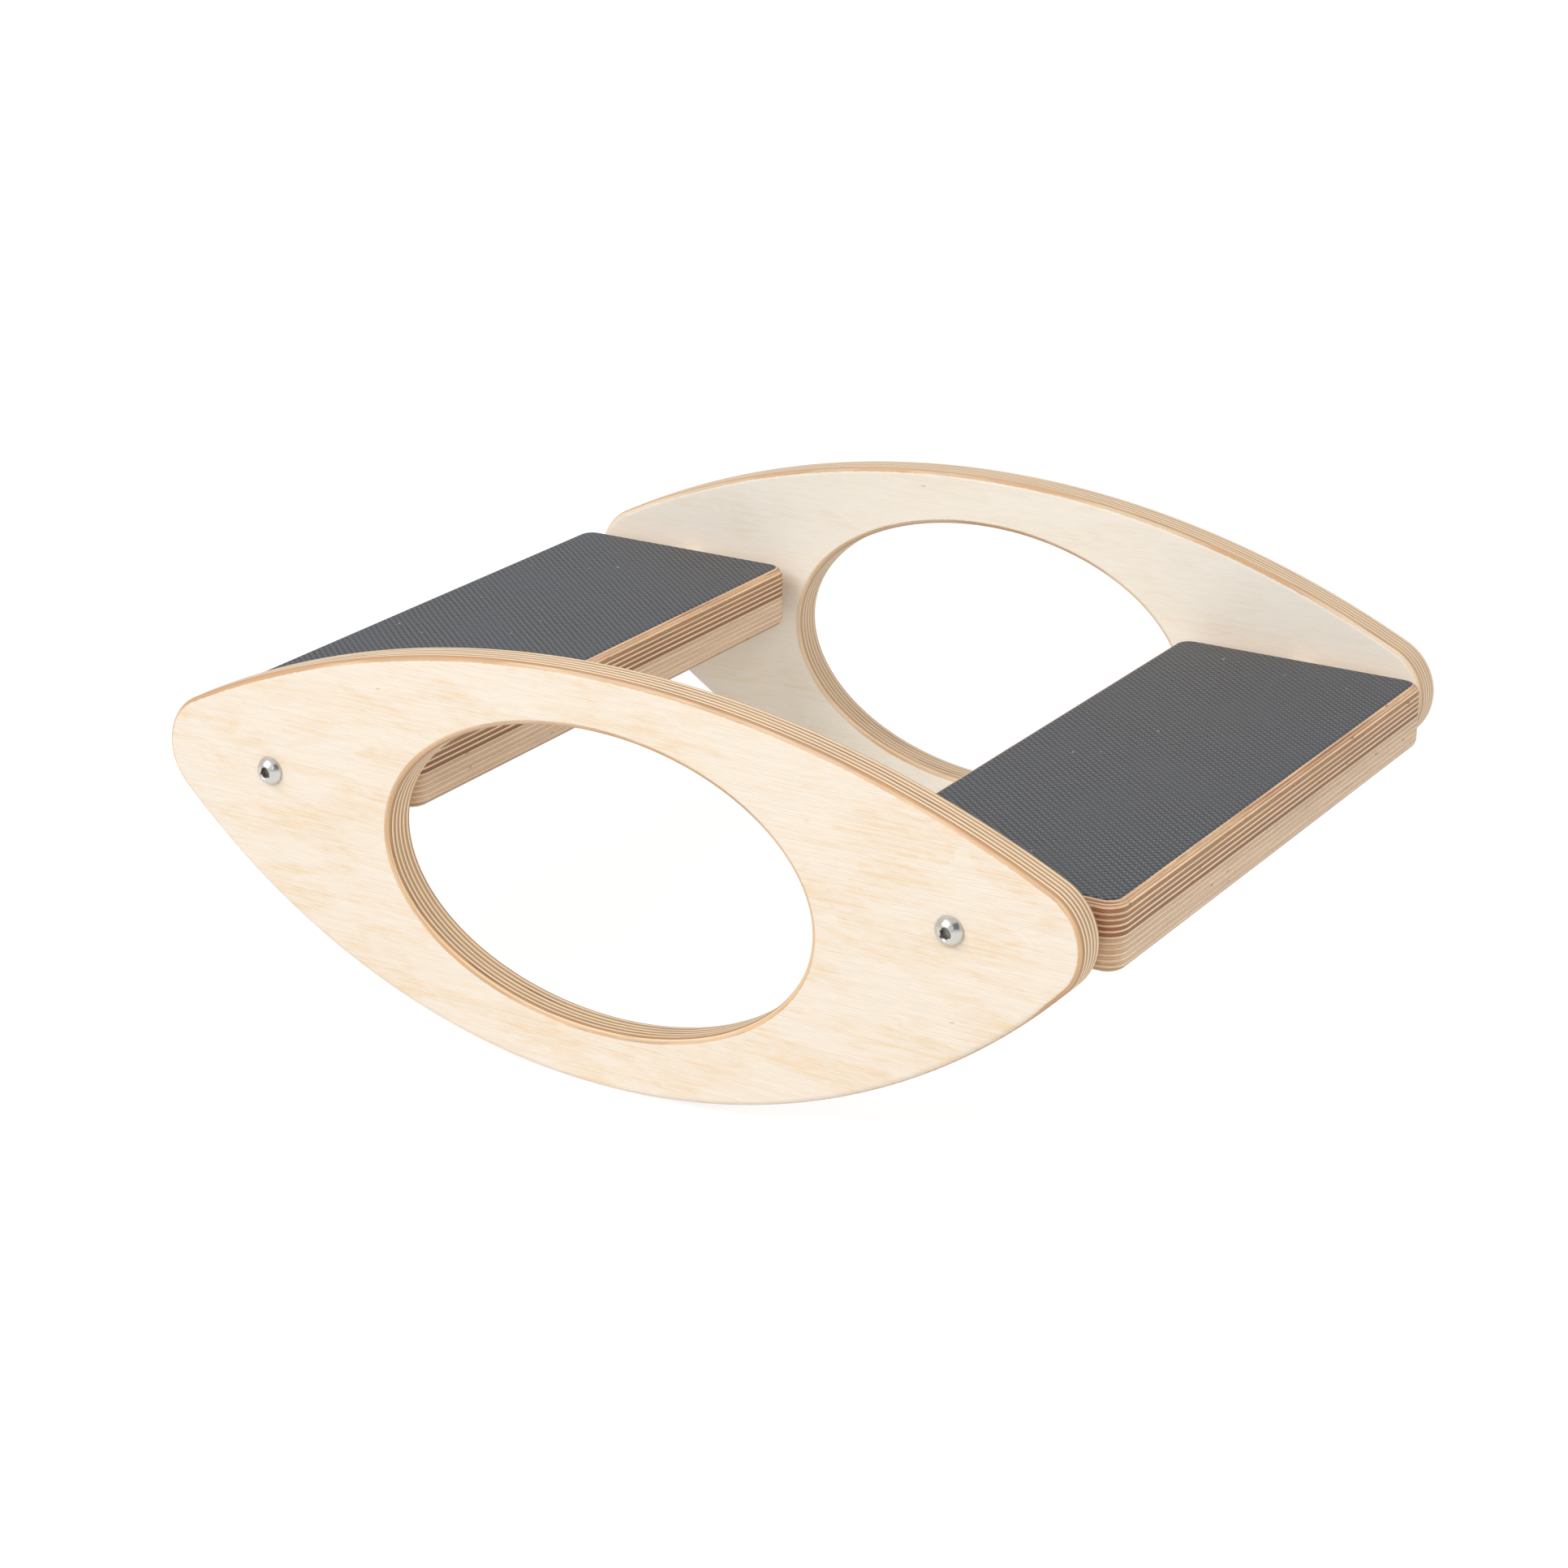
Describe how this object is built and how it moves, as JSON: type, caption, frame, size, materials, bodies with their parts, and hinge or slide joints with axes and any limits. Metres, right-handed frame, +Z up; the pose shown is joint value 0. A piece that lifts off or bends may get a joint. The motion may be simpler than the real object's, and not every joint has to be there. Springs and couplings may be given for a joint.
{
  "type": "rocker board",
  "caption": "Balance rocker with lens-shaped plywood side panels, oval hand holes, and grip-topped plywood footboards that swivel on screws between the panels.",
  "frame": {"origin": "on the floor under the middle of the rocker, below the lowest line of the lower runners", "axes": "+X along the side panels, to the right as the front side panel is faced; +Y from the front side panel to the rear one; +Z up"},
  "size_m": [0.508, 0.3952, 0.2025],
  "materials": {
    "birch_panel": "birch plywood faces, clear lacquered, with sanded edges",
    "birch_board": "thick birch plywood, clear lacquered, with its plies showing on every edge",
    "grip_film": "dark grey phenolic film pressed with a fine woven mesh",
    "screw_steel": "polished stainless steel",
    "sleeve_steel": "zinc-plated steel tube",
    "spacer_nylon": "natural nylon",
    "insert_brass": "turned brass"
  },
  "bodies": {
    "side_frame": {"side_panel_front": "birch_panel", "side_panel_rear": "birch_panel", "pivot_spacer_front_left": "spacer_nylon", "pivot_spacer_front_right": "spacer_nylon", "pivot_spacer_rear_left": "spacer_nylon", "pivot_spacer_rear_right": "spacer_nylon"},
    "left_tread": {"footboard_left": "birch_board", "grip_film_left": "grip_film", "pivot_screw_front_left": "screw_steel", "pivot_screw_rear_left": "screw_steel", "pivot_sleeve_front_left": "sleeve_steel", "pivot_sleeve_rear_left": "sleeve_steel", "threaded_insert_front_left": "insert_brass", "threaded_insert_rear_left": "insert_brass"},
    "right_tread": {"footboard_right": "birch_board", "grip_film_right": "grip_film", "pivot_screw_front_right": "screw_steel", "pivot_screw_rear_right": "screw_steel", "pivot_sleeve_front_right": "sleeve_steel", "pivot_sleeve_rear_right": "sleeve_steel", "threaded_insert_front_right": "insert_brass", "threaded_insert_rear_right": "insert_brass"}
  },
  "joints": [
    {"name": "left_tread_swivel", "type": "hinge", "parent": "side_frame", "child": "left_tread", "pos_m": [-0.18652, 0, 0.12022], "axis": [0, 1, 0], "continuous": true},
    {"name": "right_tread_swivel", "type": "hinge", "parent": "side_frame", "child": "right_tread", "pos_m": [0.18652, 0, 0.12022], "axis": [0, 1, 0], "continuous": true}
  ]
}
